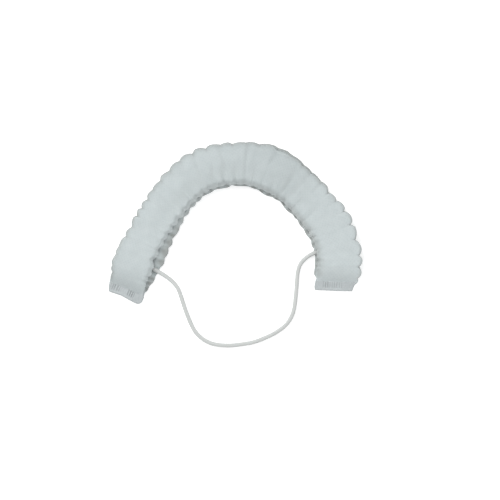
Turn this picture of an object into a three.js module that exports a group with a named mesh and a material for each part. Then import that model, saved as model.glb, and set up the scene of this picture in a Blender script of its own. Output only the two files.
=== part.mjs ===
// Disposable beard net: a sheet of white non-woven, accordion-folded to a flat
// strip of four layers and gathered along its edges, so that the strip bends
// into an arch. It lies flat. The mouth of the folds is on the concave side,
// both ends are fused into ribbed bands, and a round elastic runs in a loop
// from one arm's mouth to the other's.
//
// Millimetres, +Z up. The arch lies in the XY plane, arms towards -Y.
// Origin: middle of the cover's footprint, on the surface it lies on.

import * as THREE from "three";

// ---------------------------------------------------------------- sizes
const WALL = 1.0; // modelled thickness of the web
const GAP = 0.3; // clearance between neighbouring pieces
const CORD_DIAMETER = 3.0; // round head elastic
const CORD_SIDES = 8;
const CORD_STEPS = 48;

// share of the free height that each space between two layers takes
const SPACE_BOTTOM = 0.5; // bottom panel to lower gusset layer (the pocket)
const SPACE_MIDDLE = 0.22; // lower to upper gusset layer
const SPACE_TOP = 0.28; // upper gusset layer to top panel

const TOP_PEEK = 0.7; // the lower outer fold stands this far past the upper one
const DROOP_REACH = 6; // how far in from the top lip its droop reaches
const LIP_SWAY = 0.8; // the top lip reaches out over the gathers by this
const LIP_SWAY_BY_SETBACK = 0.28; // and by this share of a far set-back
const LIP_NOTCH = 1.1; // the bottom lip is drawn in by this at a gather's crest
const GUSSET_BASE = 7.2; // set-back of the inner gusset fold from the inner edge
const GUSSET_BY_LIP = 0.42; // and its share of the top lip's set-back
const SCALLOP_ROUND = 0.62; // exponent of a scallop's outline, under 1 is rounder
const SCALLOP_LIFT = 0.35; // height that a full scallop adds at the outer folds
const RUFFLE_REACH = 9; // how far in from the inner edge the gathers fade out
const RUFFLE_FLAT = 6; // half length of the lip that the elastic keeps flat
const RING_SHARES = [0.28, 0.72]; // rings between one nick and the next
const SHALLOW_NICK = 0.9; // a scallop between shallower nicks has one ring
const SHORT_SCALLOP = 6; // and so has a shorter scallop
const DEEP_GATHER = 1.6; // gathers over this height have rings of their own

const WEB_START = 9.3; // the web's ends along the strip
const WEB_END = 267.4;
const WELD_EDGE = 1.7; // thickness of a fused end at its cut edge
const WELD_FLAT = 5.4; // length of the flat ribbed band
const WELD_RIM = 1.1; // plain rim between the cut edge and the ribs
const RIB_PITCH = 2.6;
const RIB_HEIGHT = 0.45;

// middle of the footprint, as laid out by the tables below
const ORIGIN = { x: 1.466, y: -1.045 };

// ---------------------------------------------------------------- tables
// One row for each cross-section of the strip.
//   at     distance along the strip from its left cut end
//   x, y   middle of the strip
//   outer  from the middle to the convex edge, at the scallops' crests
//   inner  from the middle to the concave edge of the bottom panel
//   lip    how far the top panel's free edge stands back from that edge
//   droop  how far the top panel's free edge hangs below the panel
//   rise   height of the top panel
const SECTIONS = [
  { at: 0, x: -82.6, y: -56.9, outer: 13.1, inner: 13.6, lip: 0.0, droop: 0.0, rise: 5.4 },
  { at: 9, x: -79.2, y: -48.5, outer: 14.9, inner: 14.2, lip: 1.3, droop: 0.1, rise: 5.6 },
  { at: 24, x: -73.8, y: -34.3, outer: 18.4, inner: 17.3, lip: 5.5, droop: 2.2, rise: 10.7 },
  { at: 42, x: -67.1, y: -17.6, outer: 17.2, inner: 18.6, lip: 6.9, droop: 3.0, rise: 12.0 },
  { at: 60, x: -59.3, y: -1.4, outer: 16.5, inner: 18.6, lip: 5.6, droop: 3.1, rise: 12.0 },
  { at: 78, x: -49.7, y: 13.7, outer: 16.4, inner: 17.6, lip: 3.7, droop: 3.4, rise: 12.0 },
  { at: 96, x: -37.3, y: 26.8, outer: 17.8, inner: 16.2, lip: 2.7, droop: 3.8, rise: 12.0 },
  { at: 114, x: -22.4, y: 36.8, outer: 19.0, inner: 16.1, lip: 2.6, droop: 4.0, rise: 12.0 },
  { at: 132, x: -5.3, y: 42.3, outer: 17.6, inner: 16.6, lip: 1.9, droop: 4.0, rise: 12.0 },
  { at: 150, x: 12.6, y: 42.3, outer: 17.7, inner: 16.6, lip: 1.9, droop: 4.0, rise: 12.0 },
  { at: 168, x: 29.7, y: 37.0, outer: 19.4, inner: 17.2, lip: 2.1, droop: 4.0, rise: 12.0 },
  { at: 186, x: 45.3, y: 27.9, outer: 17.5, inner: 17.0, lip: 1.7, droop: 4.0, rise: 12.0 },
  { at: 204, x: 58.7, y: 15.8, outer: 16.2, inner: 17.8, lip: 1.5, droop: 4.0, rise: 12.0 },
  { at: 222, x: 69.6, y: 1.2, outer: 17.8, inner: 17.7, lip: 2.0, droop: 4.0, rise: 12.0 },
  { at: 240, x: 76.5, y: -15.5, outer: 19.0, inner: 17.2, lip: 2.3, droop: 3.8, rise: 12.0 },
  { at: 255, x: 78.9, y: -30.2, outer: 19.0, inner: 17.7, lip: 2.3, droop: 2.6, rise: 10.7 },
  { at: 268, x: 78.4, y: -43.2, outer: 16.0, inner: 16.3, lip: 0.6, droop: 0.1, rise: 5.6 },
  { at: 277, x: 78.1, y: -52.1, outer: 11.9, inner: 16.0, lip: 0.0, droop: 0.0, rise: 5.4 },
];

// One row for each nick between two scallops of the convex edge.
//   at     distance along the strip
//   depth  how far the edge is drawn in there
const NICKS = [
  { at: 9.3, depth: 0.5 },
  { at: 18.0, depth: 0.6 },
  { at: 28.5, depth: 0.9 },
  { at: 36.0, depth: 0.8 },
  { at: 42.4, depth: 1.6 },
  { at: 50.6, depth: 2.2 },
  { at: 58.5, depth: 2.3 },
  { at: 65.3, depth: 2.0 },
  { at: 72.0, depth: 2.0 },
  { at: 79.1, depth: 1.2 },
  { at: 86.6, depth: 1.5 },
  { at: 94.9, depth: 1.7 },
  { at: 103.9, depth: 1.5 },
  { at: 112.5, depth: 2.3 },
  { at: 121.5, depth: 2.2 },
  { at: 130.1, depth: 1.5 },
  { at: 137.6, depth: 1.8 },
  { at: 145.5, depth: 0.5 },
  { at: 153.8, depth: 0.8 },
  { at: 164.6, depth: 0.6 },
  { at: 174.8, depth: 0.3 },
  { at: 183.0, depth: 0.4 },
  { at: 190.5, depth: 1.0 },
  { at: 199.9, depth: 1.2 },
  { at: 207.4, depth: 2.8 },
  { at: 214.9, depth: 2.4 },
  { at: 222.8, depth: 3.0 },
  { at: 232.1, depth: 3.4 },
  { at: 241.5, depth: 3.5 },
  { at: 251.6, depth: 2.5 },
  { at: 258.4, depth: 2.8 },
  { at: 264.0, depth: 1.5 },
  { at: 267.4, depth: 0.6 },
];

// One row for each gather crest along the concave lips.
//   at    distance along the strip
//   lift  height of the crest
const GATHERS = [
  { at: 9.3, lift: 0.2 },
  { at: 14.5, lift: 0.7 },
  { at: 18.5, lift: 1.0 },
  { at: 22.6, lift: 1.6 },
  { at: 30.3, lift: 2.2 },
  { at: 38.9, lift: 2.4 },
  { at: 47.5, lift: 2.4 },
  { at: 55.6, lift: 2.3 },
  { at: 61.8, lift: 2.0 },
  { at: 68.6, lift: 2.1 },
  { at: 77.4, lift: 1.9 },
  { at: 87.2, lift: 1.6 },
  { at: 95.2, lift: 1.4 },
  { at: 102.6, lift: 1.2 },
  { at: 109.0, lift: 0.8 },
  { at: 116.8, lift: 1.0 },
  { at: 125.0, lift: 0.8 },
  { at: 134.2, lift: 1.0 },
  { at: 143.0, lift: 0.7 },
  { at: 152.0, lift: 0.9 },
  { at: 161.0, lift: 0.9 },
  { at: 169.0, lift: 0.7 },
  { at: 177.4, lift: 1.0 },
  { at: 184.8, lift: 1.0 },
  { at: 193.0, lift: 0.8 },
  { at: 202.0, lift: 1.0 },
  { at: 208.0, lift: 1.0 },
  { at: 218.5, lift: 1.1 },
  { at: 228.0, lift: 0.9 },
  { at: 233.0, lift: 1.0 },
  { at: 240.3, lift: 1.0 },
  { at: 250.0, lift: 1.0 },
  { at: 256.0, lift: 0.8 },
  { at: 262.0, lift: 0.5 },
  { at: 267.4, lift: 0.2 },
];

// Where the elastic crosses the concave lip, along the strip.
const ELASTIC_EXITS = [{ at: 26.0 }, { at: 245.2 }];

// The elastic's middle line, from inside the left arm to inside the right arm.
const ELASTIC_ROUTE = [
  { x: -70.7, y: -30.4, z: 2.8 },
  { x: -62.4, y: -34.1, z: 2.8 },
  { x: -56.5, y: -37.55, z: 2.8 },
  { x: -51, y: -40.95, z: 2 },
  { x: -45.3, y: -45.6, z: 1.55 },
  { x: -41.7, y: -50.3, z: 1.55 },
  { x: -39.6, y: -55.6, z: 1.55 },
  { x: -35.8, y: -67.1, z: 1.55 },
  { x: -31, y: -78.7, z: 1.55 },
  { x: -27.7, y: -84, z: 1.55 },
  { x: -22.7, y: -88.5, z: 1.55 },
  { x: -16.7, y: -91.6, z: 1.55 },
  { x: -9.9, y: -92.95, z: 1.55 },
  { x: -2.4, y: -93.25, z: 1.55 },
  { x: 6.6, y: -92.3, z: 1.55 },
  { x: 15.5, y: -90.7, z: 1.55 },
  { x: 27.8, y: -85.8, z: 1.55 },
  { x: 34, y: -82.3, z: 1.55 },
  { x: 39.7, y: -77.7, z: 1.55 },
  { x: 43.5, y: -72.3, z: 1.55 },
  { x: 45.8, y: -65.7, z: 1.55 },
  { x: 47.5, y: -51.4, z: 1.55 },
  { x: 48.6, y: -38.2, z: 1.55 },
  { x: 50.1, y: -33, z: 1.55 },
  { x: 53.2, y: -28.7, z: 1.85 },
  { x: 58, y: -25.1, z: 2.75 },
  { x: 63.8, y: -22.7, z: 2.8 },
  { x: 73.9, y: -19.4, z: 2.8 },
];

// ---------------------------------------------------------------- helpers
const clamp01 = (v) => Math.min(1, Math.max(0, v));
const lerp = (a, b, t) => a + (b - a) * t;

// Smooth value of one column of a table at a distance along the strip.
function column(table, key, at) {
  let i = 0;
  while (i < table.length - 2 && at > table[i + 1].at) i += 1;
  const slope = (k) => {
    const a = table[Math.max(0, k - 1)];
    const b = table[Math.min(table.length - 1, k + 1)];
    return (b[key] - a[key]) / (b.at - a.at);
  };
  const p = table[i];
  const q = table[i + 1];
  const span = q.at - p.at;
  const t = (at - p.at) / span;
  const t2 = t * t;
  const t3 = t2 * t;
  return (
    (2 * t3 - 3 * t2 + 1) * p[key] +
    (t3 - 2 * t2 + t) * span * slope(i) +
    (-2 * t3 + 3 * t2) * q[key] +
    (t3 - t2) * span * slope(i + 1)
  );
}

// The strip's middle at a distance along it, and the way to the convex side.
function stripFrame(at) {
  const step = 0.5;
  const dx = column(SECTIONS, "x", at + step) - column(SECTIONS, "x", at - step);
  const dy = column(SECTIONS, "y", at + step) - column(SECTIONS, "y", at - step);
  const len = Math.hypot(dx, dy);
  return {
    x: column(SECTIONS, "x", at) - ORIGIN.x,
    y: column(SECTIONS, "y", at) - ORIGIN.y,
    nx: -dy / len,
    ny: dx / len,
  };
}

// A scallop's hump, 0 at a nick and 1 at a crest, and the nick's depth there.
function scallop(at) {
  let i = 0;
  while (i < NICKS.length - 2 && at > NICKS[i + 1].at) i += 1;
  const t = clamp01((at - NICKS[i].at) / (NICKS[i + 1].at - NICKS[i].at));
  return {
    hump: Math.sin(Math.PI * t) ** SCALLOP_ROUND,
    depth: lerp(NICKS[i].depth, NICKS[i + 1].depth, t),
  };
}

// The gathers at the concave lips: their wave, 0 in a trough and 1 on a crest,
// and their height, nil where the elastic crosses.
function gather(at) {
  let i = 0;
  while (i < GATHERS.length - 2 && at > GATHERS[i + 1].at) i += 1;
  const t = clamp01((at - GATHERS[i].at) / (GATHERS[i + 1].at - GATHERS[i].at));
  const wave = 0.5 + 0.5 * Math.cos(2 * Math.PI * t);
  const free = ELASTIC_EXITS.reduce(
    (f, e) => f * (1 - Math.exp(-(((at - e.at) / RUFFLE_FLAT) ** 4))),
    1,
  );
  return { wave, lift: wave * free * lerp(GATHERS[i].lift, GATHERS[i + 1].lift, t) };
}

// Middle line of the folded sheet's cross-section: offset from the strip's
// middle (positive to the convex side) and height, from the top lip to the
// bottom lip.
function foldLine(at) {
  const outer = column(SECTIONS, "outer", at);
  const inner = column(SECTIONS, "inner", at);
  const lip = Math.max(0, column(SECTIONS, "lip", at));
  const droop = Math.max(0, column(SECTIONS, "droop", at));
  const rise = column(SECTIONS, "rise", at);
  const { hump, depth } = scallop(at);
  const { wave, lift } = gather(at);

  const free = rise - 4 * WALL;
  const zBottom = WALL / 2;
  const zLower = zBottom + WALL + SPACE_BOTTOM * free;
  const zUpper = zLower + WALL + SPACE_MIDDLE * free;
  const zTop = zUpper + WALL + SPACE_TOP * free;
  const full = clamp01(free / 8);

  const edge = -inner + LIP_NOTCH * wave * full;
  const sway = (LIP_SWAY + LIP_SWAY_BY_SETBACK * Math.max(0, lip - 2.6)) * full;
  const topLip = -inner + lip - sway * (wave - 0.5);
  const gusset = -inner + GUSSET_BASE + GUSSET_BY_LIP * lip;
  const upperFold = outer - TOP_PEEK - depth * (1 - hump) - WALL / 2;
  const lowerFold = outer - 0.8 * depth * (1 - hump) - WALL / 2;
  const rTop = (zTop - zUpper) / 2;
  const rGusset = (zUpper - zLower) / 2;
  const rBottom = (zLower - zBottom) / 2;
  const crown = SCALLOP_LIFT * hump * full;

  const topDrop = (u) => droop * clamp01(1 - (u - topLip) / DROOP_REACH) ** 1.6;
  const bottomWave = (u) => lift * clamp01(1 - (u - edge) / RUFFLE_REACH) ** 2;

  const line = [];
  const put = (u, z, part) => line.push({ u, z, part });
  const turn = (cu, cz, r, angles, lift2) =>
    angles.forEach((deg) => {
      const a = THREE.MathUtils.degToRad(deg);
      put(cu + r * Math.cos(a), cz + r * Math.sin(a) + lift2, "fold");
    });

  // top panel, from its free lip to the upper outer fold
  const topEnd = upperFold - rTop;
  const topWidth = topEnd - topLip;
  for (const d of [0, 0.25 * DROOP_REACH, 0.6 * DROOP_REACH, 1.15 * DROOP_REACH, 0.6 * topWidth]) {
    put(topLip + d, zTop - topDrop(topLip + d) + crown * (d / topWidth) ** 2, "top");
  }
  turn(topEnd, (zTop + zUpper) / 2, rTop, [90, 32, -32, -90], crown);
  // upper gusset layer back to the inner gusset fold, then the lower one out
  turn(gusset + rGusset, (zUpper + zLower) / 2, rGusset, [90, 180, 270], 0);
  // lower outer fold
  turn(lowerFold - rBottom, (zLower + zBottom) / 2, rBottom, [90, 32, -32, -90], 0);
  // bottom panel, flat on the surface, to its gathered lip
  for (const f of [0.5, 0.74, 0.88, 1]) {
    const u = lerp(lowerFold - rBottom, edge, f);
    put(u, zBottom + bottomWave(u), "bottom");
  }
  return line;
}

// The two skins of the folded sheet, half a wall to each side of its line.
function skins(line) {
  const a = [];
  const b = [];
  line.forEach((p, i) => {
    const before = line[Math.max(0, i - 1)];
    const after = line[Math.min(line.length - 1, i + 1)];
    const d1 = new THREE.Vector2(p.u - before.u, p.z - before.z);
    const d2 = new THREE.Vector2(after.u - p.u, after.z - p.z);
    if (i === 0) d1.copy(d2);
    if (i === line.length - 1) d2.copy(d1);
    d1.normalize();
    d2.normalize();
    const dir = d1.clone().add(d2).normalize();
    const half = WALL / 2 / Math.max(0.6, dir.dot(d1));
    a.push({ u: p.u - dir.y * half, z: p.z + dir.x * half });
    b.push({ u: p.u + dir.y * half, z: p.z - dir.x * half });
  });
  return { a, b };
}

function solid(positions, index) {
  const g = new THREE.BufferGeometry();
  g.setAttribute("position", new THREE.Float32BufferAttribute(positions, 3));
  g.setIndex(index);
  g.computeVertexNormals();
  return g;
}

// ---------------------------------------------------------------- the web
// Crests and troughs of the high gathers, along the strip.
const gatherTurns = GATHERS.slice(0, -1).flatMap((g, i) => {
  const next = GATHERS[i + 1];
  return g.lift < DEEP_GATHER ? [] : [g.at, (g.at + next.at) / 2];
});

function webGeometry() {
  const stations = [];
  NICKS.slice(0, -1).forEach((n, i) => {
    const next = NICKS[i + 1];
    const few = next.at - n.at < SHORT_SCALLOP || Math.max(n.depth, next.depth) < SHALLOW_NICK;
    const rings = (few ? [0.5] : RING_SHARES).map((share) => lerp(n.at, next.at, share));
    // the nearest ring moves onto a high gather's crest or trough
    for (const place of gatherTurns.filter((g) => g > n.at + 1.2 && g < next.at - 1.2)) {
      const gaps = rings.map((r) => Math.abs(r - place));
      rings[gaps.indexOf(Math.min(...gaps))] = place;
    }
    stations.push(n.at, ...rings.sort((a, b) => a - b));
  });
  stations.push(WEB_END);
  stations[0] = WEB_START;

  const positions = [];
  const index = [];
  let ring = 0;
  let half = 0;
  stations.forEach((at) => {
    const f = stripFrame(at);
    const { a, b } = skins(foldLine(at));
    half = a.length;
    ring = 2 * half;
    for (const p of [...a, ...b.reverse()]) {
      positions.push(f.x + f.nx * p.u, f.y + f.ny * p.u, Math.max(0, p.z));
    }
  });
  for (let k = 0; k < stations.length - 1; k += 1) {
    for (let j = 0; j < ring; j += 1) {
      const j2 = (j + 1) % ring;
      const p = k * ring + j;
      const q = k * ring + j2;
      const r = (k + 1) * ring + j2;
      const s = (k + 1) * ring + j;
      index.push(p, r, q, p, s, r);
    }
  }
  const cap = (base, flip) => {
    for (let j = 0; j < half - 1; j += 1) {
      const quad = [base + j, base + ring - 1 - j, base + ring - 2 - j, base + j + 1];
      if (flip) quad.reverse();
      index.push(quad[0], quad[1], quad[2], quad[0], quad[2], quad[3]);
    }
  };
  cap(0, true);
  cap((stations.length - 1) * ring, false);
  return solid(positions, index);
}

// ---------------------------------------------------------------- fused ends
// A band across the strip: thin and ribbed at the cut edge, thickening to the
// layers' height where it meets the web. `from` is the cut edge, `to` the web.
function weldGeometry(from, to) {
  const way = Math.sign(to - from);
  const length = Math.abs(to - from);
  const join = column(SECTIONS, "rise", to);
  const rows = [
    { d: 0, base: WELD_EDGE, rib: 0 },
    { d: WELD_RIM, base: WELD_EDGE, rib: 0 },
    { d: WELD_RIM + 0.5, base: WELD_EDGE, rib: 1 },
    { d: WELD_FLAT - 0.4, base: WELD_EDGE, rib: 1 },
    { d: WELD_FLAT, base: WELD_EDGE + 0.1, rib: 0 },
    { d: lerp(WELD_FLAT, length, 0.45), base: lerp(WELD_EDGE, join, 0.62), rib: 0 },
    { d: length, base: join, rib: 0 },
  ];
  const width = column(SECTIONS, "outer", from) + column(SECTIONS, "inner", from);
  const columns = 2 * Math.round(width / RIB_PITCH);
  const positions = [];
  const index = [];
  const top = (r, c) => 2 * (r * (columns + 1) + c);
  const bottom = (r, c) => top(r, c) + 1;
  rows.forEach((row) => {
    const at = from + way * row.d;
    const f = stripFrame(at);
    const outer = column(SECTIONS, "outer", at) - NICKS[0].depth;
    const inner = column(SECTIONS, "inner", at);
    for (let c = 0; c <= columns; c += 1) {
      const share = c / columns;
      const u = lerp(-inner, outer, share);
      const shoulder = Math.min(1, 0.72 + 3 * Math.min(share, 1 - share));
      const z = row.base * lerp(1, shoulder, row.rib === 0 && row.d > WELD_FLAT ? 1 : 0);
      const rib = row.rib * (c % 2 === 1 ? RIB_HEIGHT : 0);
      positions.push(f.x + f.nx * u, f.y + f.ny * u, z + rib);
      positions.push(f.x + f.nx * u, f.y + f.ny * u, 0);
    }
  });
  const quad = (a, b, c, d) => {
    if (way > 0) index.push(a, b, c, a, c, d);
    else index.push(a, c, b, a, d, c);
  };
  const last = rows.length - 1;
  for (let r = 0; r < last; r += 1) {
    for (let c = 0; c < columns; c += 1) {
      quad(top(r, c), top(r + 1, c), top(r + 1, c + 1), top(r, c + 1));
      quad(bottom(r, c), bottom(r, c + 1), bottom(r + 1, c + 1), bottom(r + 1, c));
    }
    quad(top(r, 0), bottom(r, 0), bottom(r + 1, 0), top(r + 1, 0));
    quad(top(r, columns), top(r + 1, columns), bottom(r + 1, columns), bottom(r, columns));
  }
  for (let c = 0; c < columns; c += 1) {
    quad(top(0, c), top(0, c + 1), bottom(0, c + 1), bottom(0, c));
    quad(top(last, c), bottom(last, c), bottom(last, c + 1), top(last, c + 1));
  }
  return solid(positions, index);
}

// ---------------------------------------------------------------- the elastic
function elasticGeometry() {
  const route = new THREE.CatmullRomCurve3(
    ELASTIC_ROUTE.map((p) => new THREE.Vector3(p.x - ORIGIN.x, p.y - ORIGIN.y, p.z)),
    false,
    "centripetal",
  );
  const section = new THREE.Shape();
  for (let k = 0; k < CORD_SIDES; k += 1) {
    const a = (2 * Math.PI * (k + 0.5)) / CORD_SIDES;
    const x = (CORD_DIAMETER / 2) * Math.cos(a);
    const y = (CORD_DIAMETER / 2) * Math.sin(a);
    if (k === 0) section.moveTo(x, y);
    else section.lineTo(x, y);
  }
  section.closePath();
  return new THREE.ExtrudeGeometry(section, {
    steps: CORD_STEPS,
    extrudePath: route,
    bevelEnabled: false,
  });
}

// ---------------------------------------------------------------- assembly
const nonwoven = { color: 0xd3dde0, roughness: 0.85, metalness: 0 };
const fused = { color: 0xc6d1d4, roughness: 0.6, metalness: 0 };
const elastic = { color: 0xdadedc, roughness: 0.9, metalness: 0 };

function piece(name, geometry, finish) {
  const mesh = new THREE.Mesh(geometry, new THREE.MeshStandardMaterial(finish));
  mesh.name = name;
  return mesh;
}

const stripStart = SECTIONS[0].at;
const stripEnd = SECTIONS[SECTIONS.length - 1].at;

const beardNet = new THREE.Group();
beardNet.add(
  piece("pleated_web", webGeometry(), nonwoven),
  piece("end_weld_left", weldGeometry(stripStart, WEB_START - GAP), fused),
  piece("end_weld_right", weldGeometry(stripEnd, WEB_END + GAP), fused),
  piece("head_elastic", elasticGeometry(), elastic),
);

export default beardNet;
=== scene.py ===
"""Looks of a disposable beard net: a pleated, gathered strip of white non-woven lying in an arch,
with fused ribbed ends and a round knitted elastic laid in a loop."""

import math

import bmesh
import bpy
import numpy as np
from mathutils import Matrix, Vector


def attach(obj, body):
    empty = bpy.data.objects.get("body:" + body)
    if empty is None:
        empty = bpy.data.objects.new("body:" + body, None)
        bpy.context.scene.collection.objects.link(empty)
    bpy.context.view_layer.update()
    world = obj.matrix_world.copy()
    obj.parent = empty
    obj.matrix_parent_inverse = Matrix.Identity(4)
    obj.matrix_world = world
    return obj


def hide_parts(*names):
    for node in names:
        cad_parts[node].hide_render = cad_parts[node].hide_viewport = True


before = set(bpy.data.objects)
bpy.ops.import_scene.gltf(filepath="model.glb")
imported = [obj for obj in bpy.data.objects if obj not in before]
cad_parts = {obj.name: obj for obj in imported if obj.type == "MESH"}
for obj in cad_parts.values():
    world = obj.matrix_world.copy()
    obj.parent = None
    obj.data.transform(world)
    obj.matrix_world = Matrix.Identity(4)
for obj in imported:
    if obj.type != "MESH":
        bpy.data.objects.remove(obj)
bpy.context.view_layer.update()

MM = 0.001
ORIGIN_X, ORIGIN_Y = 1.466, -1.045  # middle of the footprint, in the tables' millimetres

# ------------------------------------------------------------------ tables, millimetres
# cross-sections of the strip: distance along it, middle, half widths, set-back of the top lip,
# droop of the top panel towards that lip
SECTION_COLUMNS = ("at", "x", "y", "outer", "inner", "lip", "droop")
SECTIONS = np.array([
    (0, -82.6, -56.9, 13.1, 13.6, 0.0, 0.0),
    (9, -79.2, -48.5, 14.9, 14.2, 1.3, 0.3),
    (24, -73.8, -34.3, 18.4, 17.3, 5.5, 3.8),
    (42, -67.1, -17.6, 17.2, 18.6, 6.9, 4.7),
    (60, -59.3, -1.4, 16.5, 18.6, 5.1, 5.0),
    (78, -49.7, 13.7, 16.4, 17.6, 3.1, 5.6),
    (96, -37.3, 26.8, 17.8, 16.2, 2.3, 6.2),
    (114, -22.4, 36.8, 19.0, 16.1, 2.6, 6.4),
    (132, -5.3, 42.3, 17.6, 16.6, 1.9, 6.4),
    (150, 12.6, 42.3, 17.7, 16.6, 1.9, 6.4),
    (168, 29.7, 37.0, 19.4, 17.2, 2.1, 6.4),
    (186, 45.3, 27.9, 17.5, 17.0, 1.7, 6.4),
    (204, 58.7, 15.8, 16.2, 17.8, 1.5, 6.2),
    (222, 69.6, 1.2, 17.8, 17.7, 2.0, 5.8),
    (240, 76.5, -15.5, 19.0, 17.2, 2.3, 5.2),
    (255, 78.9, -30.2, 19.0, 17.7, 2.3, 4.2),
    (268, 78.4, -43.2, 16.0, 16.3, 0.6, 0.2),
    (277, 78.1, -52.1, 11.9, 16.0, 0.0, 0.0),
])

# free height between the layers along the strip: none at the fused ends
HEIGHTS = np.array([
    (0, 0.0), (6.2, 0.0), (8.0, 0.8), (10.0, 2.6), (14.0, 6.6), (20.0, 9.8), (27.0, 10.7), (40.0, 10.8),
    (238.0, 10.8), (250.0, 10.7), (257.0, 9.8), (263.0, 6.6), (267.0, 2.6), (269.0, 0.8), (270.8, 0.0), (277, 0.0),
])

# convex edge: place along the strip, half width there, 1 for a nick and 0 for a crest
EDGE = np.array([
    (6.2, 14.15, 0), (9.0, 14.45, 1), (12.0, 14.95, 0), (14.6, 14.70, 1), (18.4, 16.75, 0), (20.3, 16.50, 1),
    (22.6, 17.95, 0), (28.4, 16.85, 1), (31.2, 17.70, 0), (34.5, 17.10, 1), (36.8, 17.25, 0), (42.2, 15.05, 1),
    (46.0, 16.20, 0), (50.5, 13.75, 1), (55.6, 16.05, 0), (58.3, 13.55, 1), (62.2, 15.90, 0), (65.3, 13.60, 1),
    (68.6, 15.65, 0), (72.0, 13.45, 1), (76.0, 15.75, 0), (79.0, 14.85, 1), (82.3, 15.85, 0), (86.6, 14.75, 1),
    (90.2, 17.00, 0), (95.0, 15.45, 1), (99.7, 17.75, 0), (104.4, 16.60, 1), (107.6, 18.50, 0), (112.5, 15.95, 1),
    (116.8, 18.55, 0), (121.2, 15.75, 1), (125.5, 17.60, 0), (130.6, 15.75, 1), (134.8, 16.95, 0), (137.8, 15.05, 1),
    (143.2, 16.75, 0), (145.2, 16.55, 1), (149.7, 17.55, 0), (154.0, 16.65, 1), (161.8, 19.10, 0), (165.0, 18.30, 1),
    (171.0, 19.10, 0), (173.2, 18.40, 1), (178.0, 18.05, 0), (183.4, 16.35, 1), (186.3, 16.60, 0), (191.0, 15.35, 1),
    (192.8, 16.10, 0), (200.0, 15.05, 1), (202.8, 16.15, 0), (207.9, 12.65, 1), (211.9, 15.45, 0), (215.0, 13.85, 1),
    (219.2, 17.20, 0), (223.0, 14.45, 1), (227.0, 18.25, 0), (232.1, 14.65, 1), (235.6, 18.10, 0), (241.7, 14.55, 1),
    (247.2, 18.50, 0), (251.7, 15.65, 1), (255.2, 18.30, 0), (258.8, 14.95, 1), (262.0, 17.70, 0), (266.8, 15.25, 1),
    (269.0, 15.60, 0), (270.8, 14.80, 0),
])

# concave edge, the lower lip: place, half width, 1 for a notch (where a gather stands up) and 0 for a bulge
LOWER_LIP = np.array([
    (6.2, 13.90, 0), (8.5, 13.50, 1), (11.5, 14.90, 0), (14.5, 14.95, 1), (20.5, 16.85, 0), (23.0, 16.50, 1),
    (26.5, 17.45, 0), (30.0, 17.40, 1), (34.8, 19.00, 0), (38.6, 18.05, 1), (43.6, 18.85, 0), (47.5, 17.40, 1),
    (51.6, 18.80, 0), (55.5, 17.14, 1), (63.3, 18.45, 0), (68.7, 17.33, 1), (71.8, 17.89, 0), (77.5, 15.95, 1),
    (81.6, 17.15, 0), (87.2, 15.20, 1), (91.8, 16.50, 0), (95.2, 15.10, 1), (98.2, 16.05, 0), (102.5, 14.80, 1),
    (112.0, 15.75, 0), (116.8, 15.15, 1), (129.5, 16.50, 0), (134.2, 15.05, 1), (141.0, 16.15, 0), (152.0, 15.70, 1),
    (159.5, 16.30, 0), (161.0, 16.00, 1), (170.8, 17.60, 0), (177.4, 16.25, 1), (179.6, 16.60, 0), (184.8, 15.90, 1),
    (196.4, 18.00, 0), (202.0, 17.03, 1), (205.4, 17.69, 0), (207.8, 17.03, 1), (213.8, 18.13, 0), (218.5, 17.40, 1),
    (223.2, 17.95, 0), (232.2, 16.40, 1), (237.2, 17.15, 0), (240.2, 16.10, 1), (244.5, 17.05, 0), (248.6, 16.55, 1),
    (256.0, 17.45, 0), (259.0, 17.25, 1), (264.8, 17.80, 0), (268.0, 15.75, 1), (270.8, 16.60, 0),
])

# crests of the gathers along the concave lips: place along the strip, height
GATHERS = np.array([
    (6.2, 0.0), (9.0, 0.4), (14.5, 2.0), (18.5, 3.0), (22.6, 4.4), (30.3, 5.6), (38.9, 6.0), (47.5, 6.0),
    (55.6, 5.7), (61.8, 4.6), (68.6, 5.0), (77.4, 4.5), (87.2, 3.7), (95.2, 3.3), (102.6, 2.7), (109.0, 1.7),
    (116.8, 2.4), (125.0, 1.5), (134.2, 2.2), (143.0, 1.2), (152.0, 1.8), (161.0, 1.9), (169.0, 1.3),
    (177.4, 2.1), (184.8, 2.2), (193.0, 1.4), (202.0, 2.1), (208.0, 2.3), (218.5, 2.5), (228.0, 1.9),
    (233.0, 2.1), (240.3, 2.4), (250.0, 1.4), (256.0, 1.1), (262.0, 0.9), (267.0, 0.4), (270.8, 0.0),
])

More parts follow.
